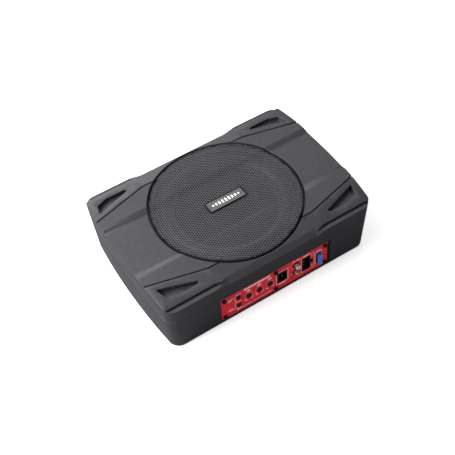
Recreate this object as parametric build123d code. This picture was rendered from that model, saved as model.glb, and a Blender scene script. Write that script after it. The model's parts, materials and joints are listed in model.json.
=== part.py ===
from build123d import *
import math
import os

# Powered car subwoofer: a flat two-shell enclosure with an 8-inch woofer firing
# up through a round grille, and an amplifier behind a red panel in the front wall.
# Frame: X along the long side, +Y to the back, +Z up, origin on the tray's flat
# underside, on the woofer's axis. The feet stand 1 mm below it. All values in millimetres.

# ---- enclosure -------------------------------------------------------------
LENGTH = 345.0          # over the bowed short sides
WIDTH = 242.0           # over the long sides
END_BOW = 6.6           # how far the short sides bow outward
CORNER_R = 16.5         # vertical corner radius
DRAFT = 4.2             # inward lean of the walls from the plate edge to the floor
WALL = 3.0
SHOULDER_T = 7.0        # material left under the ledge strip and the scoop
TOP_CLEAR_Z = 103.0     # above everything, for cuts that run out of the top
UNDERSIDE_Z = 0.0
FLOOR_Z = 3.0           # inside face of the tray floor
FOOT_STAND = 1.0        # how far the feet stand below the underside
BOTTOM_ROUND = 1.8
TRAY_TOP_Z = 61.0
COVER_BOTTOM_Z = 61.8

# ---- relief of the top -----------------------------------------------------
BAND_Z = 97.0           # raised bands, the highest surface
TROUGH_Z = 94.6         # shallow trough along the middle
TROUGH_HALF = 43.0      # half width of the trough's flat floor
TROUGH_RAMP = 7.5
PLATE_EDGE_Y = 113.0
PLATE_EDGE_Z = 92.8
CREASE_Y = 89.2         # where the outer slopes start, between the two bends
BEND_X = 85.0           # the crease bends here towards the short sides
CREASE_FALL = 0.256     # sideways run of the bent crease per mm of X
LEDGE_Z = 89.2          # strip below the plate edge, in the corner sections
LEDGE_START_X = 90.0
SCOOP_X = 72.0          # half length of the straight scoop facet
SCOOP_TIP_Y = 116.3     # plate outline at the scoop's end
RAMP_ROUND = 14.0       # rounding of the trough's crest and foot lines
GROOVE_W = 2.6
GROOVE_D = 2.2
SLOT_W = 1.6            # slot at the foot of the step down to the ledge strip
SLOT_D = 1.8
POST_R = 5.0            # columns that the screws between the shells bite into
POST_BORE_R = 2.0
POCKET_FLOOR_Z = 87.8
POCKET_WALL = 2.4
POCKET_OUTLINE = [(160, 79), (105, 97.2), (108.4, 101.3), (138.7, 102), (155.2, 95.6)]

# ---- grille and woofer seat ------------------------------------------------
GRILLE_HOLE_R = 112.2
GRILLE_R = 109.6
GRILLE_T = 1.2
GRILLE_DROP = 0.3       # sheet lies this far below the cover's relief
GRILLE_SEAT_Z = 88.5
SEAT_BORE_R = 108.3
BAFFLE_Z = 80.5
BAFFLE_T = 4.0
BAFFLE_BORE_R = 96.2
SEAT_TUBE_R = 115.0
BADGE_SIZE = (60.0, 18.8)

# ---- woofer ----------------------------------------------------------------
FLANGE_R = 107.5
FLANGE_Z = BAFFLE_Z + 1.0
FLANGE_T = 2.0
BASKET_WINDOW_R = 73.0
BASKET_WINDOWS = 6
COIL_L = 15.0
ROLL_OUTER_R = 93.6     # outer end of the surround's half roll
TRIM_OUTER_R = 98.6
WOOFER_SCREW_R = 102.6
WOOFER_SCREWS = 8
YOKE_Z = 10.0
YOKE_R = 52.0
YOKE_T = 6.0
MAGNET_R = 55.0
MAGNET_T = 18.0
TOP_PLATE_T = 7.0
POLE_R = 18.6
GAP_R = 21.4
FORMER_R = 19.2
FORMER_T = 0.45
COIL_T = 1.0
BASKET_BOWL_R = 95.4     # outside of the bowl at the flange
BASKET_LANDING_R = 56.0  # outside of the bowl at the spider's landing
SPIDER_Z = 52.0
SPIDER_R = 50.0
NECK_Z = 63.5
CONE_R = 79.0
CONE_EDGE_Z = 81.1
CONE_T = 1.0
CAP_R = 31.0

# ---- panel opening in the front wall ---------------------------------------
PANEL_X = 4.4           # the panel sits a little right of the middle
OPEN_HALF_X = 92.5
OPEN_LOW_Z = 3.6
OPEN_HIGH_Z = 57.4
PANEL_Y = -115.2        # front face of the panel
PANEL_T = 1.6
PANEL_HALF_X = 89.5
PANEL_LOW_Z = 4.4
PANEL_HIGH_Z = 52.4
PANEL_HEAD_H = 3.4      # height of the heads of the panel's screws
LIP_T = 2.4
LIP_W = 7.0             # how much of the panel's rim the lip backs
PANEL_SCREW_X = (PANEL_X - 84.5, PANEL_X + 0.4, PANEL_X + 84.5)
PANEL_SCREW_Z = (9.9, 46.7)
PANEL_BACK = PANEL_Y + PANEL_T

# ---- controls and sockets on the panel -------------------------------------
KNOB_X = {"level": -40.3, "crossover": -22.6, "boost": -4.9}
KNOB_Z = 28.9
KNOB_R = 4.2
KNOB_L = 1.9
SHAFT_R = 1.5
SHAFT_GAP = 0.06        # running clearance of a shaft in its bush
SHAFT_END_Y = PANEL_Y - 1.4
BUTTON_X = -56.9
BUTTON_Z = {"phase": 37.4, "auto_on": 19.4}
BUTTON_SIDE = 6.0
LED_XZ = (-58.5, 11.4)
INPUT_SOCKET = (8.1, 24.1, 18.3, 39.1)       # x low, x high, z low, z high
POWER_SOCKET = (50.5, 64.0, 13.8, 42.5)
PHONO_X = 39.7
PHONO_Z = {"white": 37.5, "red": 21.7}
PHONO_R = 4.15          # outside of the barrel that a plug slides over
PHONO_ROOT_R = 4.4      # the barrel's thicker root, held in the moulded block
PHONO_OUT = 6.4         # how far the barrels stand out of the panel
PHONO_COLLAR = 1.6      # how far the block's collars stand out of the panel
FUSE_XZ = (78.8, 26.6)
FUSE_OUT = 6.8          # how far the fuse stands out of the panel

# ---- how far cuts and bodies reach through the panel -------------------------
CUT_FRONT_Y = -130.0    # clear of everything in front of the panel
CUT_BACK_Y = -100.0     # clear of the panel's back
PANEL_FRAME_Y = -119.0  # front of the walls round the panel's opening
PHONO_BLOCK_Y = -98.0
PHONO_ROOT_Y = -104.0   # back end of the phono barrels
PHONO_CORE_Y = -105.0   # back end of the insulators and contacts
INPUT_SOCKET_Y = -100.5
POWER_SOCKET_Y = -99.5
BUTTON_BACK_Y = -108.2
PANEL_SCREW_HOLE_R = 1.8
BUSH_HOLE_R = 3.6
PHONO_COLLAR_R = 5.4
LED_R = 1.5
SOCKET_WALL = 1.2
PHONO_PIN_R = 1.9

# ---- boards ----------------------------------------------------------------
BOARD_Z = 12.0
BOARD_T = 1.6
BOARD_X = 82.0
BOARD_Y = (-99.2, -63.0)
CONTROL_BOARD_Y = -103.4
CONTROL_BOARD_X = (-66.0, 2.0)
CONTROL_BOARD_TOP = 44.0
HEAT_SINK_X = 60.0
HEAT_SINK_Y = (-73.5, -70.5)
HEAT_SINK_H = 22.0
FIN_FRONT_Y = -65.0
FINS = 17
TRANSISTOR_X = (-45.0, -15.0, 15.0, 45.0)
LARGE_CANS = ((-66.0, -90.0), (-52.0, -90.0))
SMALL_CANS = ((72.0, -86.0), (70.0, -75.0))
CHOKE_X = (-30.0, 56.0)
CHOKE_Y = -88.0

# ---- fasteners between the shells -------------------------------------------
SCREW_SEAT_Z = 51.0     # the heads seat here, deep in the tray's columns
SCREW_TIP_Z = 77.0

TALL = 200.0


# ---- helpers ---------------------------------------------------------------
def save(part, node):
    """Write one sub-part to its own STEP file."""
    part.label = node
    export_step(part, f"parts/{node}.step")


def cylinder_z(radius, z_low, z_high, x=0.0, y=0.0):
    """Upright cylinder between two heights."""
    centre = Pos(x, y, (z_low + z_high) / 2)
    return centre * Cylinder(radius, z_high - z_low)


def cylinder_y(radius, y_low, y_high, x, z):
    """Cylinder along Y between two depths."""
    centre = Pos(x, (y_low + y_high) / 2, z)
    return centre * Rot(90, 0, 0) * Cylinder(radius, y_high - y_low)


def block(x_low, x_high, y_low, y_high, z_low, z_high):
    """Box between two corners."""
    size = (x_high - x_low, y_high - y_low, z_high - z_low)
    centre = Pos((x_low + x_high) / 2, (y_low + y_high) / 2, (z_low + z_high) / 2)
    return centre * Box(*size)


def ring_z(r_inner, r_outer, z_low, z_high):
    """Flat ring about the woofer's axis."""
    hole = cylinder_z(r_inner, z_low - 1, z_high + 1)
    return cylinder_z(r_outer, z_low, z_high) - hole


def revolved(points):
    """Solid of revolution about Z from a closed outline of (r, z) points."""
    outline = Plane.XZ * make_face(Polyline(*points, close=True))
    return revolve(outline, Axis.Z)


def mirrored_four(part):
    """The part and its mirror images in all four quarters."""
    half = [part, mirror(part, Plane.YZ)]
    return half + [mirror(p, Plane.XZ) for p in half]


def fused(parts):
    """Union of a list of parts."""
    total = parts[0]
    for part in parts[1:]:
        total = total + part
    return total


# ---- enclosure outline -----------------------------------------------------
def outline(z, inset=0.0):
    """Plan outline at a height: straight long sides, bowed short sides, round corners."""
    lean = DRAFT * (PLATE_EDGE_Z - z) / PLATE_EDGE_Z + inset
    end_x = LENGTH / 2 - lean
    corner_x = end_x - END_BOW
    side_y = WIDTH / 2 - lean
    edges = [
        Line((-corner_x, side_y), (corner_x, side_y)),
        ThreePointArc((corner_x, side_y), (end_x, 0), (corner_x, -side_y)),
        Line((corner_x, -side_y), (-corner_x, -side_y)),
        ThreePointArc((-corner_x, -side_y), (-end_x, 0), (-corner_x, side_y)),
    ]
    face = make_face(edges)
    face = fillet(face.vertices(), CORNER_R - inset)
    return Pos(0, 0, z) * face


def shell_prism(z_low, z_high, inset=0.0):
    """Drafted block that follows the enclosure's outline."""
    return loft([outline(z_low, inset), outline(z_high, inset)], ruled=True)


def crease_y(x):
    """Where the outer slope starts, at a station along X."""
    beyond = max(0.0, abs(x) - BEND_X)
    return CREASE_Y - CREASE_FALL * beyond


def relief_section(x, drop):
    """Cross-section below the top's relief at a station along X."""
    reach = 130.0
    crease = crease_y(x)
    slope = (BAND_Z - PLATE_EDGE_Z) / (PLATE_EDGE_Y - crease)
    reach_z = BAND_Z - slope * (reach - crease)
    half = [
        (TROUGH_HALF, TROUGH_Z - drop),
        (TROUGH_HALF + TROUGH_RAMP, BAND_Z - drop),
        (crease, BAND_Z - drop),
        (reach, reach_z - drop),
        (reach, 20.0),
    ]
    points = half + [(-y, z) for y, z in reversed(half)]
    face = make_face(Polyline(*points, close=True))
    steps = [v for v in face.vertices() if TROUGH_HALF - 1 < abs(v.X) < TROUGH_HALF + TROUGH_RAMP + 1]
    return Plane.YZ.offset(x) * fillet(steps, RAMP_ROUND)


def below_relief(drop=0.0):
    """Everything under the top's relief, lowered by drop."""
    stations = [-185.0, -BEND_X, BEND_X, 185.0]
    return loft([relief_section(x, drop) for x in stations], ruled=True)


# ---- top cover -------------------------------------------------------------
def ledge_cut():
    """Removes the plate above the ledge strip in one corner section."""
    points = [
        (SCOOP_X, WIDTH),
        (SCOOP_X, SCOOP_TIP_Y),
        (LEDGE_START_X, PLATE_EDGE_Y),
        (LENGTH, PLATE_EDGE_Y),
        (LENGTH, WIDTH),
    ]
    face = make_face(Polyline(*points, close=True))
    return Pos(0, 0, LEDGE_Z) * extrude(face, TALL)


def ledge_slot():
    """Narrow slot along the foot of the step, in one corner section."""
    half = SLOT_W / 2
    path = Polyline(
        (SCOOP_X + 4, SCOOP_TIP_Y + half),
        (LEDGE_START_X + 0.2, PLATE_EDGE_Y + half),
        (LENGTH, PLATE_EDGE_Y + half),
    )
    return Pos(0, 0, LEDGE_Z - SLOT_D) * extrude(trace(path, SLOT_W), SLOT_D + 1)


def scoop_cut():
    """Slanted facet along the middle of the back long edge, fading out at both ends."""
    depth = 20.0
    fade = (SCOOP_X, LEDGE_START_X)
    reach = WIDTH / 2 - 0.5 - SCOOP_TIP_Y
    run = (fade[1] - fade[0]) * depth / (reach / math.sqrt(2))
    points = [(-SCOOP_X, 0), (SCOOP_X, 0), (SCOOP_X + run, depth), (-SCOOP_X - run, depth)]
    facet = Plane(origin=(0, SCOOP_TIP_Y, LEDGE_Z), x_dir=(1, 0, 0), z_dir=(0, 1, -1))
    face = facet * Rot(0, 0, 180) * make_face(Polyline(*points, close=True))
    return extrude(face, 40, both=True)


def groove_cut():
    """Engraved line from a short side along the crease to the grille."""
    start = (LENGTH / 2 + 10, crease_y(LENGTH / 2 + 10))
    path = Polyline(start, (BEND_X, CREASE_Y), (60, CREASE_Y))
    strip = trace(path, GROOVE_W)
    return Pos(0, 0, BAND_Z - GROOVE_D) * extrude(strip, 10)


def pocket_prism(grow, z_low):
    """Corner pocket, or the shell round it when grown outward."""
    face = make_face(Polyline(*POCKET_OUTLINE, close=True))
    if grow > 0:
        face = offset(face, grow, kind=Kind.INTERSECTION)
    return Pos(0, 0, z_low) * extrude(face, BAND_Z + 5 - z_low)


def post_places():
    """Where screws join the two shells."""
    corners = [(sx * 148.0, sy * 100.0) for sx in (-1, 1) for sy in (-1, 1)]
    sides = [(sx * 107.0, sy * 103.5) for sx in (-1, 1) for sy in (-1, 1)]
    ends = [(-159.0, 0.0), (159.0, 0.0)]
    return corners + sides + ends


def top_cover():
    outer = shell_prism(COVER_BOTTOM_Z, TOP_CLEAR_Z) & below_relief()
    for cut in mirrored_four(ledge_cut()):
        outer = outer - cut
    scoop = scoop_cut()
    outer = outer - scoop - mirror(scoop, Plane.XZ)

    room = shell_prism(COVER_BOTTOM_Z - 1, TOP_CLEAR_Z, WALL) & below_relief(WALL)
    shoulder = block(-LENGTH, LENGTH, PLATE_EDGE_Y - WALL, WIDTH, LEDGE_Z - SHOULDER_T, TALL)
    room = room - shoulder - mirror(shoulder, Plane.XZ)

    keep = mirrored_four(pocket_prism(POCKET_WALL, POCKET_FLOOR_Z - POCKET_WALL))
    keep.append(cylinder_z(SEAT_TUBE_R, BAFFLE_Z - BAFFLE_T, TOP_CLEAR_Z))
    for x, y in post_places():
        keep.append(cylinder_z(POST_R, COVER_BOTTOM_Z, TOP_CLEAR_Z, x, y))
    for part in keep:
        room = room - part
    cover = outer - room

    for cut in mirrored_four(pocket_prism(0, POCKET_FLOOR_Z)):
        cover = cover - cut
    for cut in mirrored_four(groove_cut()) + mirrored_four(ledge_slot()):
        cover = cover - cut
    cover = cover - cylinder_z(GRILLE_HOLE_R, GRILLE_SEAT_Z, TOP_CLEAR_Z)
    cover = cover - cylinder_z(SEAT_BORE_R, BAFFLE_Z, TOP_CLEAR_Z)
    cover = cover - cylinder_z(BAFFLE_BORE_R, 60, TOP_CLEAR_Z)
    for x, y in post_places():
        cover = cover - cylinder_z(POST_BORE_R, COVER_BOTTOM_Z - 1, SCREW_TIP_Z + 1, x, y)
    for x, y in woofer_screw_places():
        cover = cover - cylinder_z(2.05, BAFFLE_Z - BAFFLE_T - 1, BAFFLE_Z + 1, x, y)
    return cover


# ---- bottom tray -----------------------------------------------------------
def tray_wall_frame():
    """Box round the panel's opening, with the lip that the panel sits on."""
    reach = OPEN_HALF_X + 2.4
    frame = block(PANEL_X - reach, PANEL_X + reach, PANEL_FRAME_Y, PANEL_BACK + LIP_T, 1, TRAY_TOP_Z)
    return frame & shell_prism(UNDERSIDE_Z, TRAY_TOP_Z, 1.0)


def panel_opening(half_x, z_low, z_high, back_y):
    """Block cut out of the front wall, from the outside to a depth."""
    return block(PANEL_X - half_x, PANEL_X + half_x, -WIDTH / 2 - 1, back_y, z_low, z_high)


def panel_boss(x, z):
    """Screw boss behind the panel."""
    return cylinder_y(4.2, PANEL_BACK, PANEL_BACK + 8.5, x, z)


def foot_places():
    return [(sx * 128, sy * 88) for sx in (-1, 1) for sy in (-1, 1)]


def insert_places():
    return [(sx * 125, sy * 55) for sx in (-1, 1) for sy in (-1, 1)]


def board_post_places():
    return [(sx * 76, y) for sx in (-1, 1) for y in (-96, -68)]


def bottom_tray():
    tray = shell_prism(UNDERSIDE_Z, TRAY_TOP_Z)
    rim = tray.edges().group_by(Axis.Z)[0]
    tray = fillet(rim, BOTTOM_ROUND)
    tray = tray - shell_prism(FLOOR_Z, TRAY_TOP_Z + 5, WALL)

    tongue = shell_prism(TRAY_TOP_Z - 4, TRAY_TOP_Z + 3, WALL + 0.15)
    tongue = tongue - shell_prism(TRAY_TOP_Z - 5, TRAY_TOP_Z + 4, WALL + 1.65)
    root = shell_prism(TRAY_TOP_Z - 4, TRAY_TOP_Z, WALL - 0.5)
    root = root - shell_prism(TRAY_TOP_Z - 5, TRAY_TOP_Z + 1, WALL + 1.65)
    tray = tray + tongue + root + tray_wall_frame()

    tray = tray - panel_opening(OPEN_HALF_X, OPEN_LOW_Z, OPEN_HIGH_Z, PANEL_BACK)
    through = PANEL_HALF_X - LIP_W + 2
    tray = tray - panel_opening(through, PANEL_LOW_Z + 3, PANEL_HIGH_Z - 3, -100)
    for x in PANEL_SCREW_X:
        for z in PANEL_SCREW_Z:
            tray = tray + panel_boss(x, z)
    for x in PANEL_SCREW_X:
        for z in PANEL_SCREW_Z:
            tray = tray - cylinder_y(1.55, PANEL_Y, PANEL_BACK + 8, x, z)

    for x, y in post_places():
        tray = tray + cylinder_z(6.4, FLOOR_Z - 1, TRAY_TOP_Z, x, y)
        tray = tray - cylinder_z(4.2, -1, SCREW_SEAT_Z, x, y)
        tray = tray - cylinder_z(2.25, -1, TRAY_TOP_Z + 1, x, y)
    for x, y in foot_places():
        tray = tray - cylinder_z(9.1, -1, UNDERSIDE_Z + 1.2, x, y)
    for x, y in insert_places():
        tray = tray + cylinder_z(6.2, FLOOR_Z - 1, 13, x, y)
        tray = tray - cylinder_z(3.6, -1, 11, x, y)
    for x, y in board_post_places():
        tray = tray + cylinder_z(3.4, FLOOR_Z - 1, BOARD_Z, x, y)
        tray = tray - cylinder_z(1.3, FLOOR_Z + 1, BOARD_Z + 1, x, y)
    return tray


def shell_seal():
    """Thin foam strip between the two shells, set back from the outside."""
    strip = shell_prism(TRAY_TOP_Z, COVER_BOTTOM_Z, 1.0)
    return strip - shell_prism(TRAY_TOP_Z - 1, COVER_BOTTOM_Z + 1, WALL - 0.1)


def cover_screws():
    screws = []
    for x, y in post_places():
        head = cylinder_z(3.9, SCREW_SEAT_Z - 3, SCREW_SEAT_Z, x, y)
        socket = cylinder_z(1.4, SCREW_SEAT_Z - 4, SCREW_SEAT_Z - 1.6, x, y)
        screws.append(head + cylinder_z(1.95, SCREW_SEAT_Z - 1, SCREW_TIP_Z, x, y) - socket)
    return Compound(children=screws)


def rubber_feet():
    feet = []
    for x, y in foot_places():
        foot = cylinder_z(9.0, UNDERSIDE_Z - FOOT_STAND, UNDERSIDE_Z + 1.15, x, y)
        feet.append(fillet(foot.edges().group_by(Axis.Z)[0], 0.6))
    return Compound(children=feet)


def mounting_inserts():
    """Brass M5 inserts in the floor, open downward."""
    inserts = []
    for x, y in insert_places():
        body = cylinder_z(3.55, UNDERSIDE_Z, 11, x, y)
        inserts.append(body - cylinder_z(2.5, -1, 12, x, y))
    return Compound(children=inserts)


# ---- grille ----------------------------------------------------------------
def grille():
    """Pressed sheet that follows the cover's relief, with a turned-down rim."""
    sheet = below_relief(GRILLE_DROP) - below_relief(GRILLE_DROP + GRILLE_T)
    sheet = sheet & cylinder_z(GRILLE_R, GRILLE_SEAT_Z, TOP_CLEAR_Z)
    rim = ring_z(GRILLE_R - GRILLE_T, GRILLE_R, GRILLE_SEAT_Z, TOP_CLEAR_Z)
    return sheet + (rim & below_relief(GRILLE_DROP))


def badge():
    """Plain plate in the middle of the grille, with two studs through the sheet."""
    low = TROUGH_Z - GRILLE_DROP
    plate = Pos(0, 0, low + 0.9) * Box(*BADGE_SIZE, 1.8)
    plate = fillet(plate.edges().filter_by(Axis.Z), 1.2)
    plate = chamfer(plate.faces().sort_by(Axis.Z)[-1].edges(), 0.5)
    return plate


# ---- woofer ----------------------------------------------------------------
def polar(radius, count, phase=0.0):
    """Points spaced evenly on a circle."""
    angles = [math.radians(phase + 360.0 * i / count) for i in range(count)]
    return [(radius * math.cos(a), radius * math.sin(a)) for a in angles]


def woofer_screw_places():
    return polar(WOOFER_SCREW_R, WOOFER_SCREWS, 22.5)


def basket():
    top = FLANGE_Z + FLANGE_T
    plate_z = YOKE_Z + YOKE_T + MAGNET_T + TOP_PLATE_T
    wall = 2.2
    points = [
        (23.0, plate_z),
        (50.0, plate_z),
        (BASKET_LANDING_R, SPIDER_Z - 4),
        (BASKET_BOWL_R, FLANGE_Z - 2),
        (BASKET_BOWL_R, FLANGE_Z),
        (FLANGE_R, FLANGE_Z),
        (FLANGE_R, top),
        (BASKET_BOWL_R - wall, top),
        (BASKET_BOWL_R - wall, FLANGE_Z - 1),
        (52.5, SPIDER_Z),
        (45.0, SPIDER_Z),
        (45.0, SPIDER_Z - 2),
        (48.5, plate_z + 2),
        (23.0, plate_z + 2),
    ]
    frame = revolved(points)
    for x, y in polar(BASKET_WINDOW_R, BASKET_WINDOWS):
        turn = math.degrees(math.atan2(y, x))
        window = Pos(x, y, FLANGE_Z - 16.5) * Rot(0, 0, turn) * Box(24, 34, 40)
        frame = frame - (window & ring_z(59, 88, SPIDER_Z - 8, FLANGE_Z - 2))
    for x, y in woofer_screw_places():
        frame = frame - cylinder_z(2.4, FLANGE_Z - 5, FLANGE_Z + 5, x, y)
    return frame


def woofer_gasket():
    ring = ring_z(BAFFLE_BORE_R + 0.3, FLANGE_R - 0.3, BAFFLE_Z, FLANGE_Z)
    for x, y in woofer_screw_places():
        ring = ring - cylinder_z(2.6, FLANGE_Z - 5, FLANGE_Z + 5, x, y)
    return ring


def woofer_screws():
    top = FLANGE_Z + FLANGE_T
    screws = []
    for x, y in woofer_screw_places():
        head = cylinder_z(3.8, top, top + 2.4, x, y)
        head = fillet(head.edges().group_by(Axis.Z)[-1], 1.2)
        recess = Pos(x, y, top + 2.2) * (Box(3.6, 0.9, 1.6) + Box(0.9, 3.6, 1.6))
        screws.append(head + cylinder_z(2.0, top - 10, top + 0.5, x, y) - recess)
    return Compound(children=screws)


def yoke():
    """Back plate with the vented pole."""
    plate = cylinder_z(YOKE_R, YOKE_Z, YOKE_Z + YOKE_T)
    plate = chamfer(plate.edges(), 1.0)
    pole_top = YOKE_Z + YOKE_T + MAGNET_T + TOP_PLATE_T
    return plate + cylinder_z(POLE_R, YOKE_Z + 1, pole_top) - cylinder_z(6.0, 0, 60)


def magnet():
    low = YOKE_Z + YOKE_T
    return ring_z(27.0, MAGNET_R, low, low + MAGNET_T)


def top_plate():
    low = YOKE_Z + YOKE_T + MAGNET_T
    return ring_z(GAP_R, YOKE_R, low, low + TOP_PLATE_T)


def coil_former():
    return ring_z(FORMER_R, FORMER_R + FORMER_T, YOKE_Z + YOKE_T + 9, NECK_Z + 4)


def voice_coil():
    low = YOKE_Z + YOKE_T + MAGNET_T + TOP_PLATE_T / 2 - COIL_L / 2
    return ring_z(FORMER_R + FORMER_T, FORMER_R + FORMER_T + COIL_T, low, low + COIL_L)


def spider():
    """Corrugated ring from the former to the basket's landing."""
    inner = FORMER_R + FORMER_T
    waves = 4
    steps = 8 * waves
    span = 44.0 - inner - 4.0
    thickness = 0.8

    def height(i):
        return SPIDER_Z + 0.9 * math.sin(2 * math.pi * waves * i / steps)

    wave = [(inner + 3.0 + span * i / steps, height(i)) for i in range(steps + 1)]
    low = [(inner, SPIDER_Z)] + wave + [(SPIDER_R, SPIDER_Z)]
    high = [(r, z + thickness) for r, z in reversed(low)]
    return revolved(low + high)


def cone_height(radius):
    """Height of the cone's underside at a radius."""
    neck = FORMER_R + FORMER_T
    share = (radius - neck) / (CONE_R - neck)
    return NECK_Z + (CONE_EDGE_Z - NECK_Z) * share ** 0.9


def cone():
    neck = FORMER_R + FORMER_T
    radii = [neck + (CONE_R - neck) * i / 8 for i in range(9)]
    low = [(r, cone_height(r)) for r in radii]
    high = [(r, z + CONE_T) for r, z in reversed(low)]
    return revolved(low + high)


def dust_cap():
    """Shallow dome over the voice coil."""
    base = cone_height(CAP_R) + CONE_T
    rise = 8.0
    ball = (CAP_R ** 2 + rise ** 2) / (2 * rise)
    centre = Pos(0, 0, base + rise - ball)
    dome = centre * Sphere(ball) - centre * Sphere(ball - 0.9)
    keep = cylinder_z(CAP_R, base, base + 20)
    return dome & keep


def surround():
    """Half-roll edge between the cone and the basket's flange."""
    flange_top = FLANGE_Z + FLANGE_T
    inner, outer = CONE_R + 0.5, ROLL_OUTER_R
    middle = (inner + outer) / 2
    half = (outer - inner) / 2
    rise = 5.6
    skin = 0.9
    base = cone_height(CONE_R) + CONE_T

    def roll(extra):
        arc = []
        for i in range(13):
            angle = math.pi * (1 - i / 12)
            lift = flange_top - base
            z = base + lift * i / 12 + (rise + extra) * math.sin(angle)
            arc.append((middle + (half + extra) * math.cos(angle), z))
        return arc

    lip_in = CONE_R - 4.5
    top = [(lip_in, cone_height(lip_in) + CONE_T + skin)] + roll(skin)
    top += [(TRIM_OUTER_R, flange_top + skin)]
    low = [(TRIM_OUTER_R, flange_top), (ROLL_OUTER_R + 0.4, flange_top)] + roll(0.0)[::-1]
    low += [(CONE_R, base), (lip_in, cone_height(lip_in) + CONE_T)]
    return revolved(top + low)


def trim_ring():
    low = FLANGE_Z + FLANGE_T + 0.9
    return ring_z(TRIM_OUTER_R - 3.4, TRIM_OUTER_R, low, low + 1.8)


def terminal_seat():
    """Plane lying on the basket's front leg, its normal pointing out and down."""
    rise = FLANGE_Z - 2 - (SPIDER_Z - 4)
    run = BASKET_BOWL_R - BASKET_LANDING_R
    radius = BASKET_LANDING_R + 8.0
    height = SPIDER_Z - 4 + 8.0 * rise / run
    return Plane(origin=(0, -radius, height), x_dir=(1, 0, 0), z_dir=(0, -rise, -run))


def terminal_strip():
    """Small board with two tags on the outside of a basket leg."""
    seat = terminal_seat()
    plate = seat * Pos(0, 0, 0.85) * Box(18, 9, 1.6)
    tags = [seat * Pos(x, 0, 3.0) * Box(3, 0.8, 4) for x in (-5, 5)]
    return fused([plate] + tags)


def tinsel_leads():
    """Braided leads from the terminal strip to the cone's underside."""
    leads = []
    for side in (-1, 1):
        points = [(10.2, -65.5, 52), (24, -63.5, 56.5), (23, -55, 63), (15, -44, 64.5), (10, -33.5, 67.1)]
        path = Spline(*[(side * x, y, z) for x, y, z in points])
        start = Plane(origin=path @ 0, z_dir=path % 0)
        leads.append(sweep(start * Circle(0.6), path))
    return Compound(children=leads)


def speaker_wire(x, board_x):
    """Insulated wire from the main board up to a terminal tag."""
    seat = terminal_seat()
    end = seat.from_local_coords(Vector(x, 0, 5.05))
    bend = seat.from_local_coords(Vector(x, 0, 16))
    points = [(board_x, -90, BOARD_Z + BOARD_T), (board_x, -90, 30), bend, end]
    path = Spline(*points, tangents=[(0, 0, 1), -seat.z_dir])
    start = Plane(origin=path @ 0, z_dir=path % 0)
    return sweep(start * Circle(1.1), path)


# ---- amplifier panel -------------------------------------------------------
def window(box, gap=0.3):
    """Panel cut-out round a socket given by its x and z limits."""
    x_low, x_high, z_low, z_high = box
    return block(x_low - gap, x_high + gap, CUT_FRONT_Y, CUT_BACK_Y, z_low - gap, z_high + gap)


def control_panel():
    low_x, high_x = PANEL_X - PANEL_HALF_X, PANEL_X + PANEL_HALF_X
    panel = block(low_x, high_x, PANEL_Y, PANEL_BACK, PANEL_LOW_Z, PANEL_HIGH_Z)
    panel = fillet(panel.edges().filter_by(Axis.Y), 1.5)
    for x in PANEL_SCREW_X:
        for z in PANEL_SCREW_Z:
            panel = panel - cylinder_y(PANEL_SCREW_HOLE_R, CUT_FRONT_Y, CUT_BACK_Y, x, z)
    for x in KNOB_X.values():
        panel = panel - cylinder_y(BUSH_HOLE_R, CUT_FRONT_Y, CUT_BACK_Y, x, KNOB_Z)
    side = BUTTON_SIDE / 2
    for z in BUTTON_Z.values():
        panel = panel - window((BUTTON_X - side, BUTTON_X + side, z - side, z + side))
    panel = panel - cylinder_y(LED_R + 0.15, CUT_FRONT_Y, CUT_BACK_Y, *LED_XZ)
    panel = panel - window(INPUT_SOCKET) - window(POWER_SOCKET) - window(power_latch_box())
    for z in PHONO_Z.values():
        panel = panel - cylinder_y(PHONO_COLLAR_R + 0.3, CUT_FRONT_Y, CUT_BACK_Y, PHONO_X, z)
    panel = panel - window(fuse_holder_box())
    return panel


def panel_screws():
    screws = []
    for x in PANEL_SCREW_X:
        for z in PANEL_SCREW_Z:
            head = cylinder_y(3.2, PANEL_Y - PANEL_HEAD_H, PANEL_Y, x, z)
            head = fillet(head.edges().group_by(Axis.Y)[0], 0.9)
            shaft = cylinder_y(1.5, PANEL_Y - 0.5, PANEL_BACK + 7, x, z)
            slot = Box(3.6, 1.6, 0.9) + Box(0.9, 1.6, 3.6)
            screws.append(head + shaft - Pos(x, PANEL_Y - PANEL_HEAD_H, z) * slot)
    return Compound(children=screws)


def control_body(x):
    """Potentiometer case with its threaded bush through the panel."""
    front = PANEL_BACK + 0.8
    case = block(x - 5, x + 5, front, CONTROL_BOARD_Y, KNOB_Z - 5.5, KNOB_Z + 5.5)
    bush = cylinder_y(3.2, PANEL_Y - 0.2, front + 1, x, KNOB_Z)
    return case + bush - cylinder_y(SHAFT_R + SHAFT_GAP, CUT_FRONT_Y, CONTROL_BOARD_Y - 1.5, x, KNOB_Z)


def control_shaft(x):
    return cylinder_y(SHAFT_R, SHAFT_END_Y, CONTROL_BOARD_Y - 1.8, x, KNOB_Z)


def control_knob(x):
    """Ribbed knob with a pointer line, pushed on its shaft."""
    back = PANEL_Y - 0.5
    front = back - KNOB_L
    knob = cylinder_y(KNOB_R, front, back, x, KNOB_Z)
    knob = chamfer(knob.edges().group_by(Axis.Y)[0], 0.5)
    flutes = 18
    for dx, dz in polar(KNOB_R + 0.25, flutes, 90 + 180 / flutes):
        knob = knob - cylinder_y(0.45, front - 1, back - 0.8, x + dx, KNOB_Z + dz)
    pointer = block(x - 0.4, x + 0.4, front - 1, front + 0.4, KNOB_Z + 0.6, KNOB_Z + KNOB_R)
    return knob - pointer - cylinder_y(SHAFT_R, SHAFT_END_Y, back + 1, x, KNOB_Z)


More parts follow.
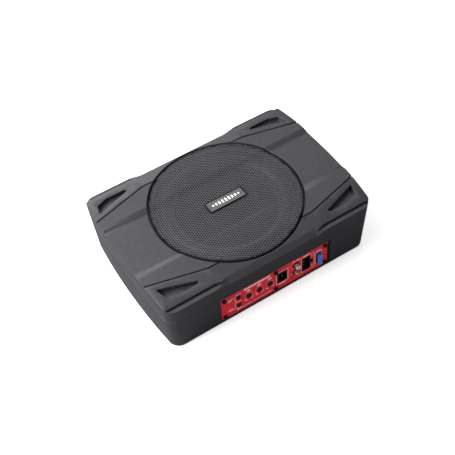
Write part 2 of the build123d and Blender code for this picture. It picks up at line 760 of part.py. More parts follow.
def switch_bodies():
    bodies = []
    for z in BUTTON_Z.values():
        front = PANEL_BACK + 0.4
        case = block(BUTTON_X - 4.5, BUTTON_X + 4.5, front, CONTROL_BOARD_Y, z - 4.5, z + 4.5)
        well = BUTTON_SIDE / 2 + 0.15
        depth = CONTROL_BOARD_Y - 1.5
        hole = block(BUTTON_X - well, BUTTON_X + well, CUT_FRONT_Y, depth, z - well, z + well)
        bodies.append(case - hole)
    return Compound(children=bodies)


def push_button(z):
    side = BUTTON_SIDE / 2
    cap = block(BUTTON_X - side, BUTTON_X + side, PANEL_Y - 2.4, BUTTON_BACK_Y, z - side, z + side)
    return chamfer(cap.faces().sort_by(Axis.Y)[0].edges(), 0.6)


def power_led():
    x, z = LED_XZ
    lens = cylinder_y(LED_R, PANEL_Y - 0.2, PANEL_Y + 4, x, z)
    lens = lens + Pos(x, PANEL_Y - 0.2, z) * Sphere(LED_R)
    return lens + cylinder_y(1.9, PANEL_BACK + 0.6, CONTROL_BOARD_Y, x, z)


def socket_housing(box, wall, cavity_depth, back_y):
    """Open-fronted plastic socket housing."""
    x_low, x_high, z_low, z_high = box
    front = PANEL_Y - 0.8
    body = block(x_low, x_high, front, back_y, z_low, z_high)
    room = block(x_low + wall, x_high - wall, front - 1, front + cavity_depth, z_low + wall, z_high - wall)
    return body - room


def pin_grid(box, columns, rows, side, front_y, back_y):
    """Square contact pins in a grid inside a socket."""
    x_low, x_high, z_low, z_high = box
    pins = []
    for i in range(columns):
        for k in range(rows):
            x = x_low + (x_high - x_low) * (i + 0.5) / columns
            z = z_low + (z_high - z_low) * (k + 0.5) / rows
            pins.append(block(x - side, x + side, front_y, back_y, z - side, z + side))
    return pins


def input_socket():
    body = socket_housing(INPUT_SOCKET, SOCKET_WALL, 11.0, INPUT_SOCKET_Y)
    return body - Compound(children=input_pin_list())


def input_pin_list():
    return pin_grid(INPUT_SOCKET, 2, 3, 0.6, PANEL_Y + 5, INPUT_SOCKET_Y - 1.5)


def power_latch_box():
    middle = (POWER_SOCKET[2] + POWER_SOCKET[3]) / 2
    return (POWER_SOCKET[1], POWER_SOCKET[1] + 5.0, middle - 3.6, middle + 3.6)


def power_socket():
    latch = power_latch_box()
    body = socket_housing(POWER_SOCKET, SOCKET_WALL, 12.0, POWER_SOCKET_Y)
    body = body + block(latch[0], latch[1], PANEL_Y - 0.8, PANEL_Y + 9.2, latch[2], latch[3])
    slit = [latch[0] + SOCKET_WALL, latch[1] - SOCKET_WALL, CUT_FRONT_Y, PANEL_Y + 6.2]
    body = body - block(*slit, latch[2] + SOCKET_WALL, latch[3] - SOCKET_WALL)
    return body - Compound(children=power_pin_list())


def power_pin_list():
    return pin_grid(POWER_SOCKET, 1, 4, 1.1, PANEL_Y + 6, POWER_SOCKET_Y - 1.5)


def phono_block():
    """Moulded body that carries both phono sockets."""
    low, high = BOARD_Z + BOARD_T, PHONO_Z["white"] + 7
    body = block(PHONO_X - 6.5, PHONO_X + 6.5, PANEL_BACK + 0.2, PHONO_BLOCK_Y, low, high)
    for z in PHONO_Z.values():
        body = body + cylinder_y(PHONO_COLLAR_R, PANEL_Y - PHONO_COLLAR, PANEL_BACK + 1.6, PHONO_X, z)
    for z in PHONO_Z.values():
        body = body - cylinder_y(PHONO_ROOT_R, CUT_FRONT_Y, PHONO_ROOT_Y, PHONO_X, z)
    return body


def phono_shells():
    """Plated barrels: a plain free end, a short neck and a thicker root."""
    neck = PANEL_Y - PHONO_COLLAR - 0.2
    shells = []
    for z in PHONO_Z.values():
        tube = cylinder_y(PHONO_R, PANEL_Y - PHONO_OUT, neck, PHONO_X, z)
        tube = chamfer(tube.edges().group_by(Axis.Y)[0], 0.3)
        tube = tube + cylinder_y(PHONO_R - 0.2, neck - 1, neck + 1, PHONO_X, z)
        tube = tube + cylinder_y(PHONO_ROOT_R, neck + 0.3, PHONO_ROOT_Y, PHONO_X, z)
        shells.append(tube - cylinder_y(PHONO_R - 0.5, CUT_FRONT_Y, PHONO_ROOT_Y + 1, PHONO_X, z))
    return Compound(children=shells)


def phono_insert(z):
    """Coloured insulator inside a phono shell."""
    ring = cylinder_y(PHONO_R - 0.5, PANEL_Y - PHONO_OUT + 0.5, PHONO_CORE_Y, PHONO_X, z)
    return ring - cylinder_y(PHONO_PIN_R, CUT_FRONT_Y, CUT_BACK_Y, PHONO_X, z)


def phono_contacts():
    contacts = []
    for z in PHONO_Z.values():
        tube = cylinder_y(PHONO_PIN_R, PANEL_Y - PHONO_OUT + 1.2, PHONO_CORE_Y, PHONO_X, z)
        contacts.append(tube - cylinder_y(PHONO_PIN_R - 0.3, CUT_FRONT_Y, PHONO_CORE_Y - 3, PHONO_X, z))
    return Compound(children=contacts)


def fuse_holder_box():
    x, z = FUSE_XZ
    return (x - 4.2, x + 4.2, z - 11.2, z + 11.2)


def fuse_blade_list(gap=0.0):
    """The fuse's two flat blades, or their slots when given a gap."""
    x, z = FUSE_XZ
    blades = []
    for side in (-1, 1):
        mid = z + side * 6.6
        blades.append(
            block(
                x - 0.35 - gap, x + 0.35 + gap,
                PANEL_Y - 3.4, PANEL_Y + 7.6 + gap,
                mid - 2.6 - gap, mid + 2.6 + gap,
            )
        )
    return blades


def fuse_holder():
    x_low, x_high, z_low, z_high = fuse_holder_box()
    body = block(x_low, x_high, PANEL_Y - 1.0, CUT_BACK_Y, z_low, z_high)
    wall = SOCKET_WALL
    seat = block(x_low + wall, x_high - wall, CUT_FRONT_Y, PANEL_Y + 1.6, z_low + wall, z_high - wall)
    return body - seat - Compound(children=fuse_blade_list(0.2))


def blade_fuse_body():
    """Moulded fuse body with a waist, seated in the holder."""
    x, z = FUSE_XZ
    front = PANEL_Y - FUSE_OUT
    cap = block(x - 2.7, x + 2.7, front, front + 4.6, z - 9.5, z + 9.5)
    cap = fillet(cap.edges().filter_by(Axis.X), 0.8)
    stem = block(x - 2.2, x + 2.2, front + 4, PANEL_Y + 1.2, z - 9.1, z + 9.1)
    body = cap + stem
    notch = block(x - 3, x + 3, front - 1, front + 1.4, z - 4.2, z + 4.2)
    return body - notch - Compound(children=fuse_blade_list())


# ---- boards and their components -------------------------------------------
def main_board():
    board = block(-BOARD_X, BOARD_X, *BOARD_Y, BOARD_Z, BOARD_Z + BOARD_T)
    for x, y in board_post_places():
        board = board - cylinder_z(1.6, BOARD_Z - 1, BOARD_Z + 3, x, y)
    return board


def control_board():
    low = BOARD_Z + BOARD_T + 0.2
    return block(*CONTROL_BOARD_X, CONTROL_BOARD_Y, CONTROL_BOARD_Y + BOARD_T, low, CONTROL_BOARD_TOP)


def board_screws():
    top = BOARD_Z + BOARD_T
    screws = []
    for x, y in board_post_places():
        screws.append(cylinder_z(2.7, top, top + 1.8, x, y) + cylinder_z(1.25, 6, top + 1, x, y))
    return Compound(children=screws)


def heat_sink():
    """Upright finned bar along the back of the main board."""
    low = BOARD_Z + BOARD_T
    bar = block(-HEAT_SINK_X, HEAT_SINK_X, *HEAT_SINK_Y, low, low + HEAT_SINK_H)
    reach = HEAT_SINK_X - 3.0
    for i in range(FINS):
        x = -reach + 2 * reach * i / (FINS - 1)
        bar = bar + block(x - 0.7, x + 0.7, HEAT_SINK_Y[1] - 0.5, FIN_FRONT_Y, low, low + HEAT_SINK_H)
    return bar


def power_transistors():
    low = BOARD_Z + BOARD_T
    leg_y = HEAT_SINK_Y[0] - 2.5
    cases = []
    for x in TRANSISTOR_X:
        case = block(x - 5, x + 5, HEAT_SINK_Y[0] - 4.5, HEAT_SINK_Y[0], low + 4, low + 19)
        for dx in (-2.5, 0, 2.5):
            leg = block(x + dx - 0.4, x + dx + 0.4, leg_y, leg_y + 0.6, low, low + 5)
            case = case + leg
        cases.append(case)
    return Compound(children=cases)


def capacitors():
    low = BOARD_Z + BOARD_T
    cans = []
    for x, y in LARGE_CANS:
        can = cylinder_z(6.2, low, low + 21, x, y)
        cans.append(fillet(can.edges().group_by(Axis.Z)[-1], 0.8))
    for x, y in SMALL_CANS:
        can = cylinder_z(4.0, low, low + 14, x, y)
        cans.append(fillet(can.edges().group_by(Axis.Z)[-1], 0.6))
    return Compound(children=cans)


def chokes():
    """Wound ring cores lying on the main board."""
    low = BOARD_Z + BOARD_T
    rings = []
    for x in CHOKE_X:
        core = Pos(x, CHOKE_Y, low + 3.5) * Torus(6.5, 3.4)
        rings.append(core)
    return Compound(children=rings)


def build_all():
    nodes = {
        "top_cover": top_cover(),
        "bottom_tray": bottom_tray(),
        "shell_seal": shell_seal(),
        "cover_screws": cover_screws(),
        "rubber_feet": rubber_feet(),
        "mounting_inserts": mounting_inserts(),
        "grille": grille(),
        "badge": badge(),
        "woofer_basket": basket(),
        "woofer_gasket": woofer_gasket(),
        "woofer_screws": woofer_screws(),
        "magnet_yoke": yoke(),
        "ring_magnet": magnet(),
        "magnet_top_plate": top_plate(),
        "coil_former": coil_former(),
        "voice_coil": voice_coil(),
        "spider": spider(),
        "cone": cone(),
        "dust_cap": dust_cap(),
        "surround": surround(),
        "trim_ring": trim_ring(),
        "terminal_strip": terminal_strip(),
        "tinsel_leads": tinsel_leads(),
        "speaker_wire_plus": speaker_wire(5.0, 6.0),
        "speaker_wire_minus": speaker_wire(-5.0, -6.0),
        "control_panel": control_panel(),
        "panel_screws": panel_screws(),
        "switch_bodies": switch_bodies(),
        "power_led": power_led(),
        "input_socket": input_socket(),
        "input_pins": Compound(children=input_pin_list()),
        "power_socket": power_socket(),
        "power_pins": Compound(children=power_pin_list()),
        "phono_block": phono_block(),
        "phono_shells": phono_shells(),
        "phono_contacts": phono_contacts(),
        "fuse_holder": fuse_holder(),
        "blade_fuse_body": blade_fuse_body(),
        "blade_fuse_blades": Compound(children=fuse_blade_list()),
        "main_board": main_board(),
        "control_board": control_board(),
        "board_screws": board_screws(),
        "heat_sink": heat_sink(),
        "power_transistors": power_transistors(),
        "capacitors": capacitors(),
        "chokes": chokes(),
    }
    bodies = [control_body(x) for x in KNOB_X.values()]
    nodes["control_bodies"] = Compound(children=bodies)
    for name, x in KNOB_X.items():
        nodes[f"{name}_knob"] = control_knob(x)
        nodes[f"{name}_shaft"] = control_shaft(x)
    for name, z in BUTTON_Z.items():
        nodes[f"{name}_button"] = push_button(z)
    for name, z in PHONO_Z.items():
        nodes[f"phono_{name}_insert"] = phono_insert(z)
    return nodes


os.makedirs("parts", exist_ok=True)
for node_name, node_part in build_all().items():
    save(node_part, node_name)
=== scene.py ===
import json
import math

import bmesh
import bpy
import numpy as np
from mathutils import Matrix, Vector


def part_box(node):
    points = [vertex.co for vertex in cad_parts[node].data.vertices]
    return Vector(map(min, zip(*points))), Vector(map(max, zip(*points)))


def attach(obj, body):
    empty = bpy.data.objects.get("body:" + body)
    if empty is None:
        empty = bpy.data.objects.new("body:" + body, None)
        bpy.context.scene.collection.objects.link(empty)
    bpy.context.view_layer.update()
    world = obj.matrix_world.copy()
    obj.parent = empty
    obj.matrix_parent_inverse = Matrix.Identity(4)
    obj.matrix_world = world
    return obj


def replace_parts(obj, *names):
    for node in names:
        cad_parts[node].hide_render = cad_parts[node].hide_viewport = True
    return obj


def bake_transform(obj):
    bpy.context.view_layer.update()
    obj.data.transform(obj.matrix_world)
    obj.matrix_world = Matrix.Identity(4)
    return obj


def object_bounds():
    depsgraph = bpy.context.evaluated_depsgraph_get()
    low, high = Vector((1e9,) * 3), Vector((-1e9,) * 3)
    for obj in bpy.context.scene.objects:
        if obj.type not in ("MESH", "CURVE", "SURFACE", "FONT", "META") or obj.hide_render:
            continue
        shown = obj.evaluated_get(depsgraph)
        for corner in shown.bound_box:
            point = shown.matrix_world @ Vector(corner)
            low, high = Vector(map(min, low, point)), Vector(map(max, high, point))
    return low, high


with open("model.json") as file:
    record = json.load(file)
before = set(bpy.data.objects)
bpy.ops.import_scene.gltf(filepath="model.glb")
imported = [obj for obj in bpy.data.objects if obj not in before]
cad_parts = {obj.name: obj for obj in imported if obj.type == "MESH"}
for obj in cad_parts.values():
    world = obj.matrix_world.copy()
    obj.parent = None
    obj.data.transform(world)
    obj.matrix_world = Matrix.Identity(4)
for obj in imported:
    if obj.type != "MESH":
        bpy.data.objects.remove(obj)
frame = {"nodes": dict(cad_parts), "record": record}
cad_low, cad_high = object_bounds()
nodes = frame["nodes"]

MM = 0.001


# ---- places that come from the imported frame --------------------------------
def box_mm(node):
    """Corners of a CAD node's box in millimetres."""
    low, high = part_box(node)
    return [v * 1000 for v in low], [v * 1000 for v in high]


grille_low, grille_high = box_mm("grille")
BAND_Z = box_mm("top_cover")[1][2]      # raised bands, the highest surface
GRILLE_DROP = BAND_Z - grille_high[2]   # how far the grille lies under the cover's relief
GRILLE_R = grille_high[0]
GRILLE_SEAT_Z = grille_low[2]
PANEL_FRONT = box_mm("control_panel")[0][1]

# The cover's relief in millimetres. The grille follows it.
TROUGH_DROP = 2.4       # the middle trough lies this far below the bands
TROUGH_HALF = 43.0      # half width of the trough's flat floor
TROUGH_RAMP = 7.5       # width of the slope from trough to band
CREASE_Y = 89.2         # crease between band and outer slope, near the middle
BEND_X = 85.0           # beyond this the crease runs inward
CREASE_FALL = 0.256     # how fast it does so
EDGE_Y = 113.0          # outer end of the slope
EDGE_DROP = 4.2         # and its depth there
BEND_SHIFTS = (-2, -1, 0, 1, 2)     # the grille's bends are averaged over these steps


def relief(x, y):
    """Height of the cover's moulded relief in millimetres."""
    side = abs(y)
    crease = CREASE_Y - CREASE_FALL * max(0.0, abs(x) - BEND_X)
    if side < TROUGH_HALF:
        return BAND_Z - TROUGH_DROP
    if side < TROUGH_HALF + TROUGH_RAMP:
        return BAND_Z - TROUGH_DROP * (1 - (side - TROUGH_HALF) / TROUGH_RAMP)
    if side < crease:
        return BAND_Z
    return BAND_Z - EDGE_DROP * (side - crease) / (EDGE_Y - crease)


def soft_relief(x, y):
    """The relief with its bends rounded over about 4 mm, as a pressed sheet has them."""
    return sum(relief(x, y + shift) for shift in BEND_SHIFTS) / len(BEND_SHIFTS)


# ---- materials ---------------------------------------------------------------
DUST = (0.42, 0.41, 0.39)
looks = {}


def node_of(tree, kind, **values):
    """New shader node, with values for its inputs or its settings."""
    made = tree.nodes.new(kind)
    for key, value in values.items():
        if key in made.inputs:
            made.inputs[key].default_value = value
        else:
            setattr(made, key, value)
    return made


def ramp(tree, source, start, end, low=0.0, high=1.0):
    """Maps a value from start..end onto low..high and holds it there."""
    made = node_of(tree, "ShaderNodeMapRange")
    made.inputs["From Min"].default_value = start
    made.inputs["From Max"].default_value = end
    made.inputs["To Min"].default_value = low
    made.inputs["To Max"].default_value = high
    tree.links.new(source, made.inputs["Value"])
    return made.outputs[0]


def product(tree, first, second):
    made = node_of(tree, "ShaderNodeMath", operation="MULTIPLY")
    tree.links.new(first, made.inputs[0])
    tree.links.new(second, made.inputs[1])
    return made.outputs[0]


def mixed(tree, amount, colour, other):
    """A colour turned by an amount toward another, which is fixed."""
    made = node_of(tree, "ShaderNodeMix", data_type="RGBA")
    tree.links.new(amount, made.inputs[0])
    tree.links.new(colour, made.inputs[6])
    made.inputs[7].default_value = (*other, 1)
    return made.outputs[2]


def toned(tree, base, clouds, fine, tone):
    """The base colour, lighter and darker by clouds and fine grain."""
    both = node_of(tree, "ShaderNodeMath", operation="MULTIPLY_ADD")
    both.inputs[1].default_value = 0.5
    tree.links.new(fine, both.inputs[0])
    tree.links.new(clouds, both.inputs[2])
    tint = node_of(tree, "ShaderNodeVectorMath", operation="SCALE")
    tint.inputs[0].default_value = base
    tree.links.new(ramp(tree, both.outputs[0], 0.45, 1.05, 1 - tone, 1 + tone), tint.inputs["Scale"])
    return tint.outputs[0]


def worn(tree, colour, wear, soft_normal, clouds):
    """Rubs the wear colour through where the rounded normal leaves the true one."""
    shape = node_of(tree, "ShaderNodeNewGeometry")
    facing = node_of(tree, "ShaderNodeVectorMath", operation="DOT_PRODUCT")
    tree.links.new(soft_normal, facing.inputs[0])
    tree.links.new(shape.outputs["Normal"], facing.inputs[1])
    edge = ramp(tree, facing.outputs["Value"], 0.995, 0.86)
    return mixed(tree, product(tree, edge, clouds), colour, wear)


def dusted(tree, colour, dust, place):
    """Fine dust that settles on the faces that look up."""
    shape = node_of(tree, "ShaderNodeNewGeometry")
    split = node_of(tree, "ShaderNodeSeparateXYZ")
    tree.links.new(shape.outputs["Normal"], split.inputs[0])
    specks = node_of(tree, "ShaderNodeTexNoise", Scale=260.0, Detail=6.0, Roughness=0.7)
    tree.links.new(place, specks.inputs["Vector"])
    settled = product(tree, split.outputs[2], specks.outputs[0])
    return mixed(tree, ramp(tree, settled, 0.35, 0.8, 0.0, dust), colour, DUST)


def material(name, base, rough, metal=0.0, tone=0.12, tone_scale=25.0, grain_scale=1400.0,
             grain=0.3, grain_depth=0.00012, stretch=(1, 1, 1), rough_swing=0.12, wear=None,
             wear_width=0.0012, dust=0.0, specular=0.5, coat=0.0, transmission=0.0, sheen=0.0):
    """Procedural finish: tone clouds, grain bump, roughness swing, edge wear and dust."""
    made = bpy.data.materials.new(name)
    made.use_nodes = True
    tree = made.node_tree
    tree.nodes.clear()
    link = tree.links.new
    out = node_of(tree, "ShaderNodeOutputMaterial")
    shader = node_of(tree, "ShaderNodeBsdfPrincipled")
    link(shader.outputs[0], out.inputs[0])
    shader.inputs["Metallic"].default_value = metal
    shader.inputs["Specular IOR Level"].default_value = specular
    shader.inputs["Coat Weight"].default_value = coat
    shader.inputs["Coat Roughness"].default_value = 0.15
    shader.inputs["Transmission Weight"].default_value = transmission
    shader.inputs["Sheen Weight"].default_value = sheen

    coords = node_of(tree, "ShaderNodeTexCoord")
    place = node_of(tree, "ShaderNodeMapping")
    place.inputs["Scale"].default_value = stretch
    link(coords.outputs["Object"], place.inputs["Vector"])
    clouds = node_of(tree, "ShaderNodeTexNoise", Scale=tone_scale, Detail=5.0, Roughness=0.6)
    link(place.outputs[0], clouds.inputs["Vector"])
    fine = node_of(tree, "ShaderNodeTexNoise", Scale=grain_scale, Detail=3.0, Roughness=0.55)
    link(place.outputs[0], fine.inputs["Vector"])

    soft = node_of(tree, "ShaderNodeBevel", samples=4, Radius=wear_width)
    bump = node_of(tree, "ShaderNodeBump", Strength=grain, Distance=grain_depth)
    link(fine.outputs[0], bump.inputs["Height"])
    link(soft.outputs[0], bump.inputs["Normal"])
    link(bump.outputs[0], shader.inputs["Normal"])

    colour = toned(tree, base, clouds.outputs[0], fine.outputs[0], tone)
    if wear is not None:
        colour = worn(tree, colour, wear, soft.outputs[0], clouds.outputs[0])
    if dust > 0:
        colour = dusted(tree, colour, dust, coords.outputs["Object"])
    link(colour, shader.inputs["Base Color"])
    smoothest, roughest = max(0.03, rough - rough_swing), min(1.0, rough + rough_swing)
    link(ramp(tree, clouds.outputs[0], 0.0, 1.0, smoothest, roughest), shader.inputs["Roughness"])
    looks[name] = made


# Enclosure.
material("shell", (0.0182, 0.0186, 0.0228), 0.36, tone=0.14, tone_scale=14, grain_scale=1300,
         grain=0.6, grain_depth=0.0003, wear=(0.045, 0.046, 0.05), wear_width=0.0008, dust=0.04)
material("foam", (0.018, 0.018, 0.018), 0.95, grain_scale=2200, grain=0.9, grain_depth=0.0003)
material("screw_black", (0.012, 0.012, 0.013), 0.42, metal=0.6, specular=0.2, tone=0.25,
         grain_scale=2500, wear=(0.2, 0.2, 0.2), wear_width=0.0004)
material("rubber_black", (0.006, 0.006, 0.0065), 0.45, specular=0.25, grain_scale=1800, grain=0.5)
material("brass", (0.62, 0.42, 0.16), 0.3, metal=1.0, tone=0.15, stretch=(1, 1, 8))
material("grille_black", (0.09, 0.092, 0.099), 0.42, grain_scale=2600, grain=0.35)
# Near-black and far darker than the grille's own finish: on the grille's rim this is painted shade for
# the shadow gap round the grille. The badge's dark frame uses it too.
material("trim_black", (0.004, 0.004, 0.0045), 0.7, specular=0.15, grain_scale=2000)
material("badge_metal", (0.1, 0.099, 0.1), 0.4, metal=0.5, tone=0.3, tone_scale=60,
         grain_scale=500, grain=0.25, stretch=(0.08, 3, 3), wear=(0.45, 0.45, 0.46),
         wear_width=0.0005)

# Woofer.
material("basket_black", (0.008, 0.008, 0.009), 0.6, specular=0.2, metal=0.4, grain_scale=1900)
material("zinc_steel", (0.5, 0.5, 0.48), 0.35, metal=1.0, tone=0.2, tone_scale=90)
material("ferrite", (0.06, 0.06, 0.065), 0.6, tone=0.25, tone_scale=120, grain=0.6)
material("former_aluminium", (0.7, 0.7, 0.71), 0.38, metal=1.0, stretch=(0.2, 1, 1),
         wear=(0.85, 0.85, 0.85))
material("copper_wire", (0.6, 0.24, 0.09), 0.3, metal=0.9, stretch=(0.2, 0.2, 6),
         grain_scale=900, grain=0.8)
material("spider_cloth", (0.5, 0.36, 0.13), 0.85, tone=0.2, grain_scale=2600, grain=0.9,
         grain_depth=0.0003, sheen=0.3)
material("cone_black", (0.0035, 0.0035, 0.0038), 0.6, specular=0.12, tone=0.2, tone_scale=60,
         grain_scale=900, grain=0.4)
material("board_brown", (0.25, 0.13, 0.05), 0.5, tone=0.25)
material("silver_braid", (0.65, 0.65, 0.64), 0.4, metal=1.0, grain_scale=4000, grain=1.0,
         grain_depth=0.0003)
material("wire_red", (0.45, 0.015, 0.015), 0.4, coat=0.2)
material("wire_black", (0.02, 0.02, 0.02), 0.4, coat=0.2)

# Control panel and amplifier.
material("panel_red", (0.72, 0.02, 0.035), 0.42, tone=0.16, tone_scale=70, grain_scale=2200,
         grain=0.4, wear=(0.75, 0.3, 0.3), wear_width=0.0004)
material("plastic_black", (0.006, 0.006, 0.0065), 0.5, specular=0.2, grain_scale=2400,
         grain=0.3, wear=(0.06, 0.06, 0.06), wear_width=0.0003)
material("knob_black", (0.007, 0.007, 0.0075), 0.5, specular=0.25, grain_scale=2600, grain=0.3,
         wear=(0.08, 0.08, 0.08), wear_width=0.0003)
material("led_lens", (0.8, 0.8, 0.76), 0.12, coat=0.6, tone=0.05, transmission=0.4)
material("tin_pin", (0.66, 0.64, 0.6), 0.3, metal=1.0, tone=0.2)
material("nickel", (0.72, 0.7, 0.64), 0.16, metal=1.0, tone=0.1, tone_scale=200,
         rough_swing=0.06, wear=(0.9, 0.88, 0.82), wear_width=0.0003)
material("plastic_white", (0.8, 0.8, 0.77), 0.3, tone=0.06)
material("plastic_red", (0.5, 0.012, 0.015), 0.3, tone=0.1)
material("fuse_blue", (0.045, 0.24, 0.9), 0.2, coat=0.5, tone=0.12, tone_scale=160,
         transmission=0.15, grain=0.1)
material("board_green", (0.015, 0.13, 0.04), 0.35, coat=0.4, tone=0.25, tone_scale=300)
material("can_blue", (0.02, 0.025, 0.09), 0.3, coat=0.3, tone=0.15)
material("print_white", (0.95, 0.86, 0.85), 0.55, tone=0.1, tone_scale=900, grain=0.2)


# ---- finishes on the CAD nodes -----------------------------------------------
slot_of = {part["node"]: part["material_slot"] for part in frame["record"]["subparts"]}
record_slots = {finish["slot"] for finish in frame["record"]["materials"]}


def dress(obj, look):
    obj.data.materials.clear()
    obj.data.materials.append(looks[look])


for name, obj in nodes.items():
    dress(obj, slot_of[name])


# ---- mesh helpers ------------------------------------------------------------
SHARP_ANGLE = math.radians(40)      # smooth shading breaks at bends sharper than this


def new_piece(name, verts, faces, look, body, smooth=True, slot=None):
    """Mesh piece from points in millimetres, riding on a CAD body unless body is None."""
    mesh = bpy.data.meshes.new(name)
    mesh.from_pydata([tuple(c * MM for c in v) for v in verts], [], faces)
    mesh.validate()
    bm = bmesh.new()
    bm.from_mesh(mesh)
    bmesh.ops.recalc_face_normals(bm, faces=bm.faces)
    bm.to_mesh(mesh)
    bm.free()
    for polygon in mesh.polygons:
        polygon.use_smooth = smooth
    if smooth:
        mesh.set_sharp_from_angle(angle=SHARP_ANGLE)
    obj = bpy.data.objects.new(name, mesh)
    bpy.context.scene.collection.objects.link(obj)
    if slot is None and look in record_slots:
        slot = look
    dress(obj, look)
    if body:
        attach(obj, body)
    return obj


def angle_of(index, count):
    """Angle of one of a number of equal steps round a circle."""
    return 2 * math.pi * index / count


def closed_tube_faces(rings, count):
    """Faces between rings of equally many points, closed both along and round them."""
    faces = []
    for i in range(rings):
        for k in range(count):
            here, next_ring = i * count, (i + 1) % rings * count
            after = (k + 1) % count
            faces.append((here + k, here + after, next_ring + after, next_ring + k))
    return faces


def revolve(profile, segments):
    """Points and faces of a closed (r, z) profile turned about Z."""
    verts = []
    for i in range(segments):
        a = angle_of(i, segments)
        verts += [(r * math.cos(a), r * math.sin(a), z) for r, z in profile]
    return verts, closed_tube_faces(segments, len(profile))


def set_blend(obj, weight):
    """Bakes a piece's transform and works out a weight of each point (mm) between the enclosure and the
    cone; the weights are not put on the piece.
    """
    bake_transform(obj)
    values = np.array([weight(v.co * 1000) for v in obj.data.vertices], np.float32)


def ease(value, low, high):
    """Smooth step from 0 at low to 1 at high."""
    t = min(1.0, max(0.0, (value - low) / (high - low)))
    return t * t * (3 - 2 * t)


# ---- rounded edges on the CAD nodes ------------------------------------------
WELD_GAP = 2e-6                     # metres
FLAT_ANGLE = 0.01                   # radians
EDGE_ANGLE = math.radians(32)       # bends sharper than this are rounded


def rounded(node, width_mm):
    """Small rounded edges from modifiers, the mesh itself left alone."""
    obj = nodes[node]
    weld = obj.modifiers.new("weld", "WELD")
    weld.merge_threshold = WELD_GAP
    flat = obj.modifiers.new("flat", "DECIMATE")
    flat.decimate_type = "DISSOLVE"
    flat.angle_limit = FLAT_ANGLE
    bevel = obj.modifiers.new("bevel", "BEVEL")
    bevel.width = width_mm * MM
    bevel.segments = 2
    bevel.limit_method = "ANGLE"
    bevel.angle_limit = EDGE_ANGLE
    bevel.use_clamp_overlap = True
    bevel.harden_normals = False


# Width of the rounded edges, in millimetres.
ROUNDED = {
    "top_cover": 0.45, "bottom_tray": 0.35, "control_panel": 0.3, "input_socket": 0.3,
    "power_socket": 0.3, "fuse_holder": 0.3, "blade_fuse_body": 0.5, "phase_button": 0.3,
    "auto_on_button": 0.3, "magnet_yoke": 0.6, "ring_magnet": 0.8, "magnet_top_plate": 0.5,
    "phono_block": 0.3, "terminal_strip": 0.2, "heat_sink": 0.2, "power_transistors": 0.3,
}
for name, width in ROUNDED.items():
    rounded(name, width)


# ---- perforated grille ---------------------------------------------------------
PITCH = 3.65            # between the centres of neighbouring holes
HOLE_R = 1.58
SHEET_T = 0.5
RIM_R = 108.6           # inner edge of the rolled rim
SIDES = 12              # points round a hole, and round the cell that holds it
SHEET_R = GRILLE_R - 0.5        # outer radius of the sheet
LAST_CELL_R = GRILLE_R - 1.6    # cells centred farther out are left away
LAST_HOLE_R = RIM_R - 0.2       # and those farther out than this have no hole
BLANK_X, BLANK_Y = 27.0, 6.5    # half size of the unperforated patch under the badge


def around(cx, cy, reach, step):
    """Point at a reach from a centre, at one of the steps round it."""
    a = angle_of(step, SIDES)
    return cx + reach * math.sin(a), cy + reach * math.cos(a)


def cell_outline(cx, cy):
    """Hexagon round a hole: the middles of its sides and its corners in turn."""
    reaches = (PITCH / 2, PITCH / math.sqrt(3))
    return [around(cx, cy, reaches[k % 2], k) for k in range(SIDES)]


def hole_outline(cx, cy):
    return [around(cx, cy, HOLE_R, k) for k in range(SIDES)]


def cell_centres():
    """Hexagonal lattice over the sheet, its rows along Y."""
    row_gap = PITCH * math.sqrt(3) / 2
    rows = int(GRILLE_R / row_gap) + 1
    for row in range(-rows, rows + 1):
        shift = PITCH / 2 if row % 2 else 0.0
        for col in range(-rows - 1, rows + 2):
            cx, cy = row * row_gap, col * PITCH + shift
            if math.hypot(cx, cy) <= LAST_CELL_R:
                yield cx, cy


def grille_sheet():
    """Hexagonal cells, each with a round hole, following the relief."""
    points, lookup, faces = [], {}, []

    def vertex(x, y, layer):
        radius = math.hypot(x, y)
        if radius > SHEET_R:
            x, y = x * SHEET_R / radius, y * SHEET_R / radius
        key = (round(x, 2), round(y, 2), layer)
        if key not in lookup:
            lookup[key] = len(points)
            z = soft_relief(x, y) - GRILLE_DROP - (SHEET_T if layer else 0.0)
            points.append((x, y, z))
        return lookup[key]

    def both_layers(outline):
        return [[vertex(x, y, layer) for x, y in outline] for layer in (0, 1)]

    walls = {}
    for cx, cy in cell_centres():
        upper, lower = both_layers(cell_outline(cx, cy))
        under_badge = abs(cx) < BLANK_X and abs(cy) < BLANK_Y
        if math.hypot(cx, cy) < LAST_HOLE_R and not under_badge:
            upper_hole, lower_hole = both_layers(hole_outline(cx, cy))
            for k in range(SIDES):
                n = (k + 1) % SIDES
                faces.append((upper[k], upper[n], upper_hole[n], upper_hole[k]))
                faces.append((lower[n], lower[k], lower_hole[k], lower_hole[n]))
                faces.append((upper_hole[k], upper_hole[n], lower_hole[n], lower_hole[k]))
        else:
            faces.append(upper)
            faces.append(lower[::-1])
        for k in range(SIDES):
            n = (k + 1) % SIDES
            wall = (upper[k], lower[k], lower[n], upper[n])
            walls.setdefault(frozenset((upper[k], upper[n])), []).append(wall)
    faces += [found[0] for found in walls.values() if len(found) == 1]
    return new_piece("grille_sheet", points, faces, "grille_black", "enclosure", smooth=False)


